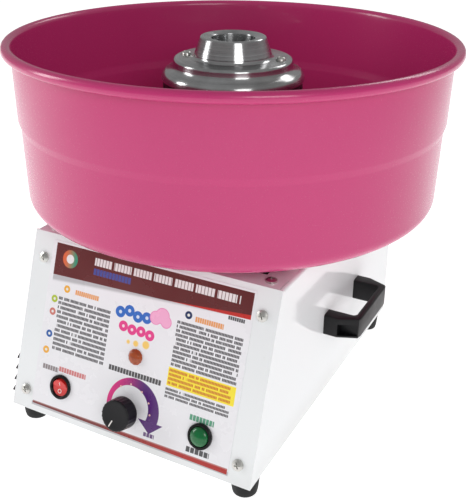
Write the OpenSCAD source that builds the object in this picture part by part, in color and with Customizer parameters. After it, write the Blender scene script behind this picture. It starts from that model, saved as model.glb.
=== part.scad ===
// Cotton candy machine: a spun bowl over a sloped-front cabinet, with a
// motor-driven spinner head on the Z axis. Z = 0 is the plane the feet stand on.
// X runs to the right, Y to the back, and the control panel faces -Y.

/* [Cabinet] */
// Width of the cabinet
cab_w = 255; // [235:1:285]
// Height of the sheet cabinet, without its feet
cab_h = 162; // [158:1:180]
// Depth of the cabinet at its base
base_d = 349; // [345:1:355]
// Depth of the cabinet at its top
top_d = 295; // [290:1:300]
// Distance of the back face behind the spin axis
back_y = 143; // [140:1:150]
// Thickness of the folded steel sheet
sheet = 1.2; // [1:0.1:1.5]
// Outer radius of the top folds
bend_r = 3; // [2:0.5:4]
// Width of the rectangular opening in the top
opening_w = 207.4; // [200:0.1:208]
// Height of the rubber feet
foot_h = 18; // [15:1:20]

/* [Bowl] */
// Outer radius of the rolled rim
rim_r = 215; // [210:1:225]
// Height of the bowl from its underside to the top of the rim
bowl_h = 156; // [150:1:160]
// Gap between the cabinet top and the bowl
bowl_gap = 14; // [13:0.5:16]
// Thickness of the spun aluminium
bowl_wall = 1.5; // [1:0.1:2]
// Radius of the bowl's bottom corner
corner_r = 14; // [10:1:18]
// Radius of the rolled bead at the rim
bead_r = 4.9; // [4:0.1:5.5]

/* [Spinner head] */
// Height of the head's mouth above the floor
head_top = 349; // [346:1:352]
// Outer radius of the mouth
mouth_r = 32; // [30:0.5:33]
// Radius of the sugar hole
sugar_r = 20.8; // [18:0.2:22]
// Radius of the screw flange
flange_r = 57.8; // [56:0.2:60]
// Largest radius of the head
head_r = 69; // [68:0.1:70]
// Outer radius of the slotted heater band
band_r = 67.6; // [66:0.1:67.8]
// Number of slots in the heater band
band_slots = 40; // [24:4:48]

/* [Controls] */
// Sideways distance of the rocker and the start button from the middle
control_x = 75; // [70:1:80]
// Distance of the control row up the panel
control_s = 31; // [30:0.5:34]
// Distance of the pilot lamp up the panel
lamp_s = 80.5; // [76:0.5:86]
// Radius of the heat knob
knob_r = 14.5; // [12:0.5:16]
// Rocker tilt either way from its middle position
rocker_tilt = 12; // [8:1:12]
// Travel of the start button
button_travel = 3.5; // [2:0.5:4]

/* [Handles] */
// Length of a handle along the cabinet's side
handle_l = 94; // [90:1:110]
// Stand-off of a handle from the cabinet's side
handle_out = 33; // [30:1:40]
// Height of a handle's section
handle_h = 21; // [18:1:24]

/* [Hidden] */
$fn = 64;

// Cabinet planes
base_z = foot_h;
top_z = base_z + cab_h;
under_top = top_z - sheet;
front_y = back_y - base_d;
top_front_y = back_y - top_d;
lean = atan((base_d - top_d) / cab_h);
panel_l = cab_h / cos(lean);
side_in = cab_w / 2 - sheet;
deck_z = base_z + 2 * sheet;
floor_in = back_y - 2 * sheet;

// Opening in the cabinet top
opening_front = top_front_y + 20;
opening_back = back_y - 20;
relief_x = 124;

// Fasteners: M5 pan heads with hexagon nuts
shank_r = 2.4;
hole_r = 2.6;
thread_r = 2.45;
head_screw_r = 5;
nut_r = 4.6;
nut_h = 4;
panel_screw_x = cab_w / 2 - 14;
panel_screw_s = [18, 146.5];
top_screw_x = 112;
top_screw_y = [top_front_y + 11, back_y - 12];
back_screw_z = [base_z + 14, under_top - 14];
back_screw_x = side_in - 9;

// Feet
foot_x = 114;
foot_y = [front_y + 18, back_y - 19];
foot_top_r = 13;
foot_low_r = 11.5;
foot_pocket = 9;

// Frame rails, bowl posts and motor bridge under the top
rail_x = [opening_w / 2 + 0.3, 124];
rail_t = 3;
rail_y = [top_front_y + 5, back_y - 5];
rail_z = under_top - rail_t;
post_x = 116;
post_y = 107;
post_r = 5;
bridge_t = 2.5;
bridge_z = base_z + 132;
bridge_x = 100;
bridge_half = 44;
bridge_bolt_y = 30;

// Bowl profile
bowl_z = top_z + bowl_gap;
bowl_floor = bowl_z + bowl_wall;
rim_z = bowl_z + bowl_h;
wall_low_r = rim_r - 14.5;
flat_r = wall_low_r - corner_r;
step_low_z = bowl_z + 78;
step_top_z = bowl_z + 88;
step_low_r = rim_r - 12.6;
step_top_r = rim_r - 10.2;
wall_top_r = rim_r - 2 * bead_r + bowl_wall;
shaft_gate_r = 12;
collar_h = 20;

// Handles
handle_z = base_z + 69;
handle_mid_y = (top_front_y + back_y) / 2 - 2.5;
leg_t = 14;
grip_t = 6.5;
leg_straight = 13.5;
outer_slant = 8;
handle_chamfer = 3;
handle_screw_z = handle_z + handle_h / 2;
handle_screw_y = [for (s = [-1, 1]) handle_mid_y + s * (handle_l - leg_t) / 2];

// Motor, from its fan up to the bridge
stator_r = 42;
stator_bore = 24;
stator_z = [78, 118];
bell_r = 43;
bell_skirt = 3.5;
bell_plate = 5;
bell_h = 18;
lower_bell_z = stator_z[0] - bell_h;
upper_bell_top = stator_z[1] + bell_h;
lug_r = 6.5;
lug_at = 47;
shaft_r = 6;
shaft_z = [28, 168];
bearing_r = 11;
bearing_h = 8;
running = 0.05;
boss_r = 15;
boss_h = 12;
rotor_gap = 0.6;
fan_z = 30;
fan_h = 12;
fan_r = 38;
fan_blades = 7;

// Extension tube, slip rings and brushes
tube_r = 9;
tube_z = [150, 296];
sleeve_r = 13;
sleeve_z = [156, 190];
ring_r = 16;
ring_h = 7;
ring_z = [161, 176];
brush_gap = 0.3;
brush_w = 6;
brush_h = 5;
brush_l = 15.7;
brush_travel = 4;
holder_x = [20, 48];
holder_w = 18;
holder_top = 188;
spring_seat = 4;

// Spinner head, measured down from its mouth
flange_z = head_top - 20.5;
skirt_z = head_top - 41.5;
band_z = skirt_z - 16;
head_base_z = band_z - 5;
hub_z = head_base_z - 10.5;
hub_r = 17;
head_screw_at = 46.5;
head_screw_turn = 14;
pillar_r = 4.5;
element_r = 58;
element_z = [for (k = [0:2]) band_z + 4.5 + 4 * k];

// Panel fittings, measured out from the panel's face
film = 0.3;
bezel_r = 11.5;
barrel_r = 9.9;
panel_hole_r = 10.2;
rocker_r = 7.9;
rocker_cavity_r = 8.8;
rocker_pivot_n = -1;
rocker_pin_r = 1;
button_r = 8.4;
button_bore_r = 8.8;
button_seat_n = -17;
button_base_n = -9;
lamp_r = 7.3;
lamp_barrel_r = 5;
bushing_r = 3.6;
pot_shaft_r = 3;
knob_n = [6.9, 20.5];
knob_pointer = 24;

// Back-panel fittings
gland_x = 85;
fuse_x = 55;
entry_z = base_z + 27;
cable_r = 3.75;
gland_thread_r = 8;
fuse_r = 6;

// Side vent, measured from the leaning front edge of the left side
vent_s = 11;
vent_pitch = 10.6;
vent_count = 4;
vent_hood = 8.9;
vent_back = 3;
vent_l = 36;
vent_out = 4.6;

// Control board on the base plate
board_x = [-114, -60];
board_y = [44, 112];
board_z = deck_z + 10;
board_t = 1.6;

// ---- placing ----

// Panel frame: x to the right, y up the slope, z out of the panel
module on_panel(x = 0, s = 0, n = 0) {
    translate([0, front_y, base_z]) rotate([90 - lean, 0, 0]) translate([x, s, n]) children();
}

// Left-side frame: x towards the front, y up the slope, z out of the side
module on_left(s = 0) {
    on_panel(-cab_w / 2, s) rotate([0, -90, 0]) children();
}

// Back-panel frame: z out of the back
module on_back(x, z) {
    translate([x, back_y, z]) rotate([-90, 0, 0]) children();
}

// Everything in front of a plane at height n over the panel
module ahead_of(n) {
    on_panel(-cab_w, -panel_l, n) cube([2 * cab_w, 3 * panel_l, base_d]);
}

// A slab parallel to the panel, kept to the cabinet's height
module panel_slab(n, t, w = cab_w) {
    intersection() {
        on_panel(-w / 2, -20, n) cube([w, panel_l + 40, t]);
        translate([-cab_w / 2, front_y - 20, base_z]) cube([cab_w, base_d, cab_h]);
    }
}

module left_and_right() {
    children();
    mirror([1, 0, 0]) children();
}

// ---- shared shapes ----

module ring(r_out, r_in, h) {
    difference() {
        cylinder(r = r_out, h = h);
        translate([0, 0, -1]) cylinder(r = r_in, h = h + 2);
    }
}

module round_hole(r, from, to) {
    translate([0, 0, from]) cylinder(r = r, h = to - from);
}

// Pan head with a cross recess, its seat at z = 0
module pan_head(r = head_screw_r) {
    dome_r = 2 * r;
    difference() {
        intersection() {
            cylinder(r = r, h = 2 * r);
            translate([0, 0, 0.62 * r - dome_r]) sphere(r = dome_r);
        }
        for (a = [20, 110]) rotate(a) translate([-0.56 * r, -0.11 * r, 0.26 * r])
            cube([1.12 * r, 0.22 * r, r]);
    }
}

module hex_nut() {
    difference() {
        cylinder(r = nut_r, h = nut_h, $fn = 6);
        translate([0, 0, -1]) cylinder(r = thread_r, h = nut_h + 2);
    }
}

// Screw seated at z = 0 with its nut under the parts that it clamps
module screw_and_nut(grip) {
    union() {
        pan_head();
        translate([0, 0, -grip - nut_h - 1.5]) cylinder(r = shank_r, h = grip + nut_h + 1.6);
    }
    translate([0, 0, -grip - nut_h]) hex_nut();
}

module hex_bolt(length) {
    translate([0, 0, -1]) cylinder(r = shank_r, h = length + 1);
    translate([0, 0, -3]) cylinder(r = nut_r, h = 3, $fn = 6);
}

// Tube of a given radius along a list of points
function unit(v) = v / norm(v);
function path_dir(p, i) = unit(p[min(i + 1, len(p) - 1)] - p[max(i - 1, 0)]);
function path_side(d) = unit(cross(d, abs(d[2]) > 0.9 ? [0, 1, 0] : [0, 0, 1]));
function path_ring(c, d, r, sides) = [
    for (k = [0:sides - 1])
        c + r * (cos(360 * k / sides) * path_side(d) + sin(360 * k / sides) * cross(path_side(d), d))
];
module tube(points, r, sides = 8) {
    n = len(points);
    rings = [for (i = [0:n - 1]) each path_ring(points[i], path_dir(points, i), r, sides)];
    walls = [
        for (i = [0:n - 2], k = [0:sides - 1])
            [i * sides + k, i * sides + (k + 1) % sides, (i + 1) * sides + (k + 1) % sides,
                (i + 1) * sides + k]
    ];
    start = [for (k = [sides - 1:-1:0]) k];
    end = [for (k = [0:sides - 1]) (n - 1) * sides + k];
    polyhedron(points = rings, faces = concat([start], walls, [end]), convexity = 8);
}

// Coil spring standing on z = 0
function coil(r, length, turns, steps = 10) = [
    for (i = [0:turns * steps]) [r * cos(360 * i / steps), r * sin(360 * i / steps),
        length * i / (turns * steps)]
];
module coil_spring(r, wire, length, turns) {
    translate([0, 0, wire]) tube(coil(r, length - 2 * wire, turns), wire, 6);
}

function arc(c, r, a0, a1, steps = 8) = [
    for (i = [0:steps]) let (a = a0 + (a1 - a0) * i / steps) c + r * [cos(a), sin(a)]
];

// ---- cabinet ----

// Cross-section of the folded cover: solid outline with two round top folds
module cover_outline(w, h, r) {
    translate([-w / 2, 0]) square([w, h - r]);
    translate([-w / 2 + r, 0]) square([w - 2 * r, h]);
    for (s = [-1, 1]) translate([s * (w / 2 - r), h - r]) circle(r);
}

module cover_solid() {
    translate([0, back_y, base_z]) rotate([90, 0, 0]) linear_extrude(base_d)
        cover_outline(cab_w, cab_h, bend_r);
}

module cover_sheet() {
    translate([0, back_y, base_z]) rotate([90, 0, 0]) linear_extrude(base_d) difference() {
        cover_outline(cab_w, cab_h, bend_r);
        translate([0, -1]) cover_outline(cab_w - 2 * sheet, cab_h - sheet + 1, bend_r - sheet);
    }
}

// Lips folded inwards behind the front and back panels and over the base plate
module cover_lips() {
    left_and_right() {
        on_panel(cab_w / 2 - 20, -20, -2 * sheet) cube([20, panel_l + 40, sheet]);
        translate([side_in - 18, floor_in, base_z]) cube([18.5, sheet, cab_h]);
        translate([side_in - 26, front_y, base_z]) cube([26.5, base_d - 2 * sheet, sheet]);
    }
}

module panel_screw_places() {
    for (x = [-1, 1], s = panel_screw_s) on_panel(x * panel_screw_x, s) children();
}

module top_screw_places() {
    for (x = [-1, 1], y = top_screw_y) translate([x * top_screw_x, y, top_z]) children();
}

module back_screw_places() {
    for (x = [-1, 1], z = back_screw_z) on_back(x * back_screw_x, z) children();
}

module foot_places() {
    for (x = [-1, 1], y = foot_y) translate([x * foot_x, y, 0]) children();
}

module post_places() {
    for (x = [-1, 1], y = [-1, 1]) translate([x * post_x, y * post_y, 0]) children();
}

module handle_screw_places() {
    left_and_right() for (y = handle_screw_y) translate([cab_w / 2, y, handle_screw_z])
        rotate([0, 90, 0]) children();
}

module vent_slots(from, to) {
    for (k = [0:vent_count - 1])
        on_left(vent_s + k * vent_pitch + 1.5) translate([-vent_back - vent_l + 3, 0, from])
            cube([vent_l - 6, vent_hood - 4.5, to - from]);
}

module cabinet_wrap() color("white") difference() {
    intersection() {
        cover_solid();
        union() {
            cover_sheet();
            cover_lips();
        }
    }
    ahead_of(-sheet);
    translate([-opening_w / 2, opening_front, under_top - 1])
        cube([opening_w, opening_back - opening_front, sheet + 2]);
    left_and_right() translate([relief_x, top_front_y - 10, under_top - 4]) cube([0.5, 29, 10]);
    panel_screw_places() round_hole(hole_r, -5, 5);
    top_screw_places() round_hole(hole_r, -5, 5);
    back_screw_places() round_hole(hole_r, -5, 5);
    foot_places() round_hole(hole_r, 0, deck_z + 1);
    post_places() round_hole(hole_r, under_top - 2, top_z + 2);
    handle_screw_places() round_hole(hole_r, -5, 5);
    vent_slots(-5, 1);
}

module base_slots() {
    for (x = [-1, 1], k = [0:6]) translate([x * 62 - 22, -60 + 20 * k, base_z]) cube([44, 3.5, 5]);
}

module base_plate() color("white") difference() {
    translate([-side_in, front_y, base_z + sheet]) cube([2 * side_in, floor_in - front_y, sheet]);
    ahead_of(-2 * sheet);
    foot_places() round_hole(hole_r, base_z, deck_z + 1);
    base_slots();
}

module back_panel() color("white") difference() {
    translate([-side_in, back_y - sheet, base_z]) cube([2 * side_in, sheet, cab_h - sheet]);
    for (x = [-1, 1], k = [0:8]) translate([x * 50 - 24, back_y - 3, base_z + 62 + 9 * k])
        cube([48, 5, 3.2]);
    back_screw_places() round_hole(hole_r, -5, 5);
    on_back(gland_x, entry_z) round_hole(gland_thread_r + 0.2, -5, 5);
    on_back(fuse_x, entry_z) round_hole(fuse_r + 0.2, -5, 5);
}

module panel_cutouts(from, to) {
    for (x = [-1, 1]) on_panel(x * control_x, control_s) round_hole(panel_hole_r, from, to);
    on_panel(0, lamp_s) round_hole(lamp_barrel_r + 0.3, from, to);
    on_panel(0, control_s) round_hole(bushing_r + 0.1, from, to);
}

module front_panel() color("white") difference() {
    panel_slab(-sheet, sheet);
    panel_cutouts(-5, 5);
    panel_screw_places() round_hole(hole_r, -5, 5);
}

// Printed film on the front panel
module front_overlay() color("whitesmoke") difference() {
    on_panel(-105.5, 5.5, 0) cube([211, 160, film]);
    panel_cutouts(-5, 5);
    on_panel(0, control_s) round_hole(6.6, -5, 5);
}

module panel_screws() color("silver") {
    panel_screw_places() screw_and_nut(2 * sheet);
    top_screw_places() screw_and_nut(sheet + rail_t);
    back_screw_places() screw_and_nut(2 * sheet);
}

module rubber_feet() color("dimgray") foot_places() difference() {
    union() {
        translate([0, 0, 3]) cylinder(r1 = foot_low_r, r2 = foot_top_r, h = base_z - 3);
        cylinder(r1 = foot_low_r - 2, r2 = foot_low_r, h = 3);
    }
    round_hole(6, -1, foot_pocket);
    round_hole(hole_r, 0, base_z + 1);
}

// ---- handles ----

module handle_plan() {
    half = handle_l / 2;
    difference() {
        polygon([
            [0, -half], [leg_straight, -half], [handle_out - 1, outer_slant - half], [handle_out,
                outer_slant + 5 - half],
            [handle_out, half - outer_slant - 5], [handle_out - 1, half - outer_slant], [leg_straight,
                half], [0, half]
        ]);
        translate([-1, leg_t - half]) square([handle_out - grip_t + 1, handle_l - 2 * leg_t]);
    }
}

module handle_section() {
    c = handle_chamfer;
    polygon([[-1,
        0], [handle_out - c, 0], [handle_out, c], [handle_out, handle_h - c], [handle_out - c,
            handle_h], [-1, handle_h]]);
}

module handle_pocket(side) {
    translate([leg_straight, side * handle_l / 2 - 9, 2.5])
        cube([handle_out - leg_straight - 2, 18, handle_h - 9]);
}

module handle_body() difference() {
    intersection() {
        linear_extrude(handle_h) handle_plan();
        translate([0, handle_l, 0]) rotate([90, 0, 0]) linear_extrude(2 * handle_l) handle_section();
    }
    for (side = [-1, 1]) handle_pocket(side);
    for (y = [-1, 1]) translate([0, y * (handle_l - leg_t) / 2, handle_h / 2]) rotate([0, 90, 0])
        round_hole(thread_r, -1, 12);
}

module handle_right() color("black") translate([cab_w / 2, handle_mid_y, handle_z]) handle_body();

module handle_left() color("black") mirror([1, 0, 0]) translate([cab_w / 2, handle_mid_y, handle_z])
    handle_body();

module handle_screws() color("silver") handle_screw_places() {
    translate([0, 0, -sheet]) rotate([180, 0, 0]) pan_head();
    translate([0, 0, -sheet - 0.1]) cylinder(r = shank_r, h = 11);
}

// ---- side vent ----

module vent_hood_shape() {
    cheek = [[0, 0], [0, vent_out], [1, vent_out], [vent_hood, 1], [vent_hood, 0]];
    blade = [[0, vent_out - 1.2], [0, vent_out], [1, vent_out], [vent_hood, 1], [vent_hood, 0],
        [vent_hood - 1, 0]];
    rotate([90, 0, 90]) {
        linear_extrude(1.4) polygon(cheek);
        translate([0, 0, 1.3]) linear_extrude(vent_l - 2.6) polygon(blade);
        translate([0, 0, vent_l - 1.4]) linear_extrude(1.4) polygon(cheek);
    }
}

module side_vent_grille() color("black") difference() {
    union() {
        on_left(vent_s - 3) translate([-vent_back - vent_l - 3, 0, 0])
            cube([vent_l + 4.5, vent_pitch * vent_count + 4.5, 1.1]);
        for (k = [0:vent_count - 1]) on_left(vent_s + k * vent_pitch)
            translate([-vent_back - vent_l, 0, 0]) vent_hood_shape();
    }
    vent_slots(-1, 1.5);
}

// ---- frame under the top ----

module rail() difference() {
    translate([rail_x[0], rail_y[0], rail_z]) cube([rail_x[1] - rail_x[0], rail_y[1] - rail_y[0], rail_t]);
    top_screw_places() round_hole(hole_r, -20, 5);
    post_places() round_hole(hole_r, rail_z - 1, top_z);
    for (y = [-1, 1]) translate([post_x, y * bridge_bolt_y, 0]) round_hole(thread_r, rail_z - 1, top_z);
}

module frame_rail_right() color("silver") rail();

module frame_rail_left() color("silver") mirror([1, 0, 0]) rail();

module bridge_profile() {
    tab_z = rail_z - bridge_t;
    translate([-bridge_x, bridge_z]) square([2 * bridge_x, bridge_t]);
    for (s = [0, 1]) mirror([s, 0]) {
        translate([bridge_x - bridge_t, bridge_z]) square([bridge_t, rail_z - bridge_z]);
        translate([bridge_x - bridge_t, tab_z]) square([rail_x[1] - bridge_x, bridge_t]);
    }
}

module motor_bridge() color("silver") difference() {
    translate([0, bridge_half, 0]) rotate([90, 0, 0]) linear_extrude(2 * bridge_half) bridge_profile();
    round_hole(18, bridge_z - 1, bridge_z + bridge_t + 1);
    lug_places() round_hole(hole_r, bridge_z - 1, bridge_z + bridge_t + 1);
    left_and_right() for (y = [-1, 1]) translate([post_x, y * bridge_bolt_y, 0])
        round_hole(hole_r, bridge_z + 5, top_z);
    holder_screw_places() round_hole(1.6, bridge_z - 1, bridge_z + bridge_t + 1);
}

// Bolts of the bridge, the feet and the brush holder
module frame_bolts() color("silver") {
    left_and_right() for (y = [-1, 1]) translate([post_x, y * bridge_bolt_y, rail_z - bridge_t])
        hex_bolt(bridge_t + rail_t - 0.5);
    foot_places() translate([0, 0, foot_pocket]) rotate([180, 0, 0]) screw_and_nut(deck_z - foot_pocket);
    holder_screw_places() {
        translate([0, 0, bridge_z - 2]) cylinder(r = 1.5, h = 8.5);
        translate([0, 0, bridge_z + 6.1]) cylinder(r = 2.8, h = 2);
    }
}

// ---- bowl ----

module bowl_section() {
    translate([shaft_gate_r, bowl_z]) square([flat_r - shaft_gate_r + 0.01, bowl_wall]);
    translate([flat_r, bowl_z + corner_r]) intersection() {
        difference() {
            circle(corner_r);
            circle(corner_r - bowl_wall);
        }
        translate([0, -corner_r - 1]) square([corner_r + 1, corner_r + 1.01]);
    }
    polygon([
        [wall_low_r, bowl_z + corner_r], [step_low_r, step_low_z], [step_top_r, step_top_z],
        [wall_top_r, rim_z - bead_r], [wall_top_r - bowl_wall, rim_z - bead_r],
        [step_top_r - bowl_wall, step_top_z], [step_low_r - bowl_wall, step_low_z],
            [wall_low_r - bowl_wall, bowl_z + corner_r]
    ]);
    translate([rim_r - bead_r, rim_z - bead_r]) circle(bead_r);
}

module bowl() color("hotpink") difference() {
    rotate_extrude($fn = 128) bowl_section();
    post_places() round_hole(hole_r, bowl_z - 1, bowl_floor + 1);
}

// Turned collar that keeps sugar out of the shaft hole
module bowl_collar() color("silver") {
    difference() {
        union() {
            translate([0, 0, bowl_z - 1.5]) cylinder(r = shaft_gate_r, h = collar_h + 1.5);
            translate([0, 0, bowl_floor]) cylinder(r = 26, h = 1.5);
        }
        round_hole(shaft_gate_r - 1.5, bowl_z - 2, bowl_z + collar_h + 1);
    }
    for (a = [45:90:315]) rotate(a) translate([20, 0, bowl_floor + 1.4]) intersection() {
        cylinder(r = 2.2, h = 2);
        translate([0, 0, -1.8]) sphere(r = 3);
    }
}

module bowl_spacers() color("white") post_places() translate([0, 0, top_z]) ring(post_r, hole_r, bowl_gap);

module bowl_screws() color("silver") post_places() translate([0, 0, bowl_floor])
    screw_and_nut(bowl_floor - rail_z);

// ---- motor ----

module lug_places() {
    for (a = [45:90:315]) rotate(a) translate([lug_at, 0, 0]) children();
}

module lugs(from, to) {
    lug_places() round_hole(lug_r, from, to);
}

// End bell standing on z = 0: skirt, plate, four lugs and a bearing boss
module bell() difference() {
    union() {
        cylinder(r = bell_r, h = bell_h);
        lugs(0, bell_h);
        translate([0, 0, bell_h]) cylinder(r = boss_r, h = boss_h);
    }
    round_hole(bell_r - bell_skirt, -1, bell_h - bell_plate);
    round_hole(shaft_r + 1, 0, bell_h + boss_h + 1);
    round_hole(bearing_r, bell_h + boss_h - bearing_h - 2, bell_h + boss_h + 1);
    lug_places() round_hole(hole_r, -1, bell_h + 1);
}

module motor_upper_bell() color("gainsboro") translate([0, 0, stator_z[1]]) bell();

module motor_lower_bell() color("gainsboro") translate([0, 0, stator_z[0]]) mirror([0, 0, 1]) bell();

module motor_stator() color("dimgray") difference() {
    translate([0, 0, stator_z[0]]) cylinder(r = stator_r, h = stator_z[1] - stator_z[0]);
    round_hole(stator_bore, stator_z[0] - 1, stator_z[1] + 1);
    for (k = [1:6]) translate([0, 0, stator_z[0] + 5.6 * k]) difference() {
        cylinder(r = stator_r + 1, h = 0.6);
        translate([0, 0, -1]) cylinder(r = stator_r - 0.7, h = 3);
    }
}

module motor_windings() color("peru") for (z = [stator_z[0] - 9, stator_z[1]]) translate([0, 0, z])
    ring(37, 27, 9);

module motor_bolts() color("silver") lug_places() {
    translate([0, 0, lower_bell_z]) hex_bolt(bridge_z + bridge_t - lower_bell_z + nut_h + 1);
    translate([0, 0, bridge_z + bridge_t]) hex_nut();
}

module rubber_isolators() color("dimgray") lug_places() translate([0, 0, upper_bell_top])
    ring(7.5, hole_r, bridge_z - upper_bell_top);

module shaft_bearings() color("silver") {
    translate([0, 0, upper_bell_top + boss_h - bearing_h - 2])
        ring(bearing_r, shaft_r + running, bearing_h);
    translate([0, 0, lower_bell_z - boss_h + 2]) ring(bearing_r, shaft_r + running, bearing_h);
}

module motor_shaft() color("silver") translate([0, 0, shaft_z[0]]) {
    cylinder(r = shaft_r, h = shaft_z[1] - shaft_z[0] - 1);
    translate([0, 0, shaft_z[1] - shaft_z[0] - 1.01]) cylinder(r1 = shaft_r, r2 = shaft_r - 1, h = 1.01);
}

module motor_rotor() color("gray") translate([0, 0, stator_z[0] + 1])
    ring(stator_bore - rotor_gap, shaft_r, stator_z[1] - stator_z[0] - 2);

module cooling_fan() color("darkslategray") difference() {
    union() {
        translate([0, 0, fan_z]) cylinder(r = 11, h = fan_h);
        for (k = [0:fan_blades - 1]) rotate(360 * k / fan_blades) translate([23, 0, fan_z + fan_h / 2])
            rotate([55, 0, 0]) cube([fan_r - 10, fan_h - 1, 1.6], center = true);
    }
    round_hole(shaft_r, fan_z - 5, fan_z + fan_h + 5);
}

// ---- slip rings and brushes ----

module extension_tube() color("silver") translate([0, 0, tube_z[0]])
    ring(tube_r, shaft_r, tube_z[1] - tube_z[0]);

module slip_ring_sleeve() color("saddlebrown") translate([0, 0, sleeve_z[0]])
    ring(sleeve_r, tube_r, sleeve_z[1] - sleeve_z[0]);

module slip_rings() color("gold") for (z = ring_z) translate([0, 0, z]) ring(ring_r, sleeve_r, ring_h);

module holder_screw_places() {
    for (y = [-1, 1]) translate([34, y * 14, 0]) children();
}

module brush_holder() color("black") {
    foot_z = bridge_z + bridge_t;
    difference() {
        union() {
            translate([holder_x[0], -holder_w / 2, foot_z])
                cube([holder_x[1] - holder_x[0], holder_w, holder_top - foot_z]);
            translate([26, -19, foot_z]) cube([16, 38, 3.5]);
        }
        for (z = ring_z)
            translate([holder_x[0] - 1, -brush_w / 2 - brush_gap, z + (ring_h - brush_h) / 2 - brush_gap])
            cube([holder_x[1] - holder_x[0] - spring_seat + 1,
                brush_w + 2 * brush_gap, brush_h + 2 * brush_gap]);
        holder_screw_places() round_hole(1.6, foot_z - 1, foot_z + 5);
    }
}

module brush(z) translate([ring_r + brush_gap, -brush_w / 2, z + (ring_h - brush_h) / 2])
    cube([brush_l, brush_w, brush_h]);

module brush_spring(z) {
    start = ring_r + brush_gap + brush_l;
    translate([start, 0, z + ring_h / 2]) rotate([0, 90, 0])
        coil_spring(2, 0.35, holder_x[1] - spring_seat - start, 6);
}

module brush_upper() color("darkgray") brush(ring_z[1]);

module brush_lower() color("darkgray") brush(ring_z[0]);

module brush_spring_upper() color("silver") brush_spring(ring_z[1]);

module brush_spring_lower() color("silver") brush_spring(ring_z[0]);

// ---- spinner head ----

module head_screw_places() {
    for (a = [0, 180]) rotate(head_screw_turn + a) translate([head_screw_at, 0, 0]) children();
}

module head_base() color("silver") difference() {
    union() {
        translate([0, 0, head_base_z]) cylinder(r = band_r, h = band_z - head_base_z);
        translate([0, 0, hub_z]) cylinder(r = hub_r, h = head_base_z - hub_z + 1);
        translate([0, 0, band_z - 1]) cylinder(r1 = 26, r2 = 14, h = 9);
        head_screw_places() round_hole(pillar_r, band_z - 1, flange_z - 3.5);
    }
    round_hole(tube_r, hub_z - 1, tube_z[1]);
    head_screw_places() round_hole(2.05, flange_z - 20, flange_z);
    rotate(90) translate([0, 0, hub_z + 5]) rotate([0, 90, 0]) round_hole(2.5, tube_r - 1, hub_r + 1);
}

// Turned cover: mouth cone, screw flange, skirt and rounded lower shoulder
module cover_profile() {
    lip = 2.2;
    shoulder = 7;
    polygon(concat(
        [[sugar_r, head_top - 1.7]],
        arc([mouth_r - lip, head_top - lip], lip, 90, 8),
        [[mouth_r + 5.4, flange_z + 3.2], [mouth_r + 6.2, flange_z + 1.2], [mouth_r + 8, flange_z]],
        arc([flange_r - 3, flange_z - 3], 3, 90, 0),
        [[flange_r + 0.5, skirt_z + 13.5], [flange_r + 2.6, skirt_z + 11]],
        arc([head_r - shoulder, skirt_z + 3.5], shoulder, 70, 0, 12),
        arc([head_r - 1.5, skirt_z + 1.5], 1.5, 0, -90),
        [[head_r - 6, skirt_z], [head_r - 6, skirt_z + 4], [flange_r - 2, skirt_z + 9]],
        [[flange_r - 3, flange_z - 3.5], [sugar_r, flange_z - 3.5]]
    ));
}

module head_cover() color("silver") difference() {
    rotate_extrude($fn = 128) cover_profile();
    head_screw_places() round_hole(2.2, flange_z - 10, flange_z + 5);
    head_screw_places() round_hole(5.2, flange_z - 0.8, flange_z + 5);
}

module head_screws() color("gainsboro") head_screw_places() translate([0, 0, flange_z - 0.8]) {
    pan_head(4.5);
    translate([0, 0, -15]) cylinder(r = 2, h = 15.1);
}

module heater_band() color("black") difference() {
    translate([0, 0, band_z]) ring(band_r, band_r - 2.6, skirt_z - band_z);
    for (k = [0:band_slots / 2 - 1]) rotate(360 * k / band_slots)
        translate([-band_r - 1, -0.7, band_z + 2.5]) cube([2 * band_r + 2, 1.4, skirt_z - band_z - 5]);
}

// Three heater rings on ceramic pins, with the two leads down the shaft tube
module heating_element() color("darkorange") {
    for (z = element_z) translate([0, 0, z]) rotate_extrude($fn = 96) translate([element_r, 0]) circle(1.1);
    for (k = [0:5]) rotate(60 * k + 44) translate([element_r, 0, band_z]) cylinder(r = 1.8, h = 13.6);
    for (s = [-1, 1]) translate([2.8 * s, 0, shaft_z[1] + 1])
        cylinder(r = 1, h = tube_z[1] - shaft_z[1] - 3);
}

// ---- controls ----

module bezel(h, r_in) {
    difference() {
        rotate_extrude()
            polygon(concat([[0, 0]], [[bezel_r, 0]], arc([bezel_r - 1, h - 1], 1, 0, 90), [[0, h]]));
        translate([0, 0, -1]) cylinder(r = r_in, h = h + 2);
        translate([0, 0, h - 0.6]) cylinder(r1 = r_in, r2 = r_in + 0.7, h = 0.7);
    }
}

module rocker_housing() color("black") on_panel(-control_x, control_s) difference() {
    union() {
        translate([0, 0, film]) bezel(2, rocker_cavity_r);
        translate([0, 0, -18]) ring(barrel_r, rocker_cavity_r, 18 + film + 0.01);
        translate([0, 0, -18]) cylinder(r = barrel_r, h = 12.8);
    }
    translate([-9.7, 0, rocker_pivot_n]) rotate([0, 90, 0]) cylinder(r = rocker_pin_r + running, h = 19.4);
}

module main_rocker() color("red") on_panel(-control_x, control_s, rocker_pivot_n)
    rotate([rocker_tilt, 0, 0]) {
    intersection() {
        translate([0, 0, -1.5]) cylinder(r = rocker_r, h = 8);
        rotate([90, 0, 90]) translate([0, 0, -10]) linear_extrude(20)
            polygon([[-9,
                -1.5], [9, -1.5], [9, 2 + 9 * tan(rocker_tilt)], [0, 2], [-9, 2 + 9 * tan(rocker_tilt)]]);
    }
    translate([-9.4, 0, 0]) rotate([0, 90, 0]) cylinder(r = rocker_pin_r, h = 18.8);
}

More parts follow.
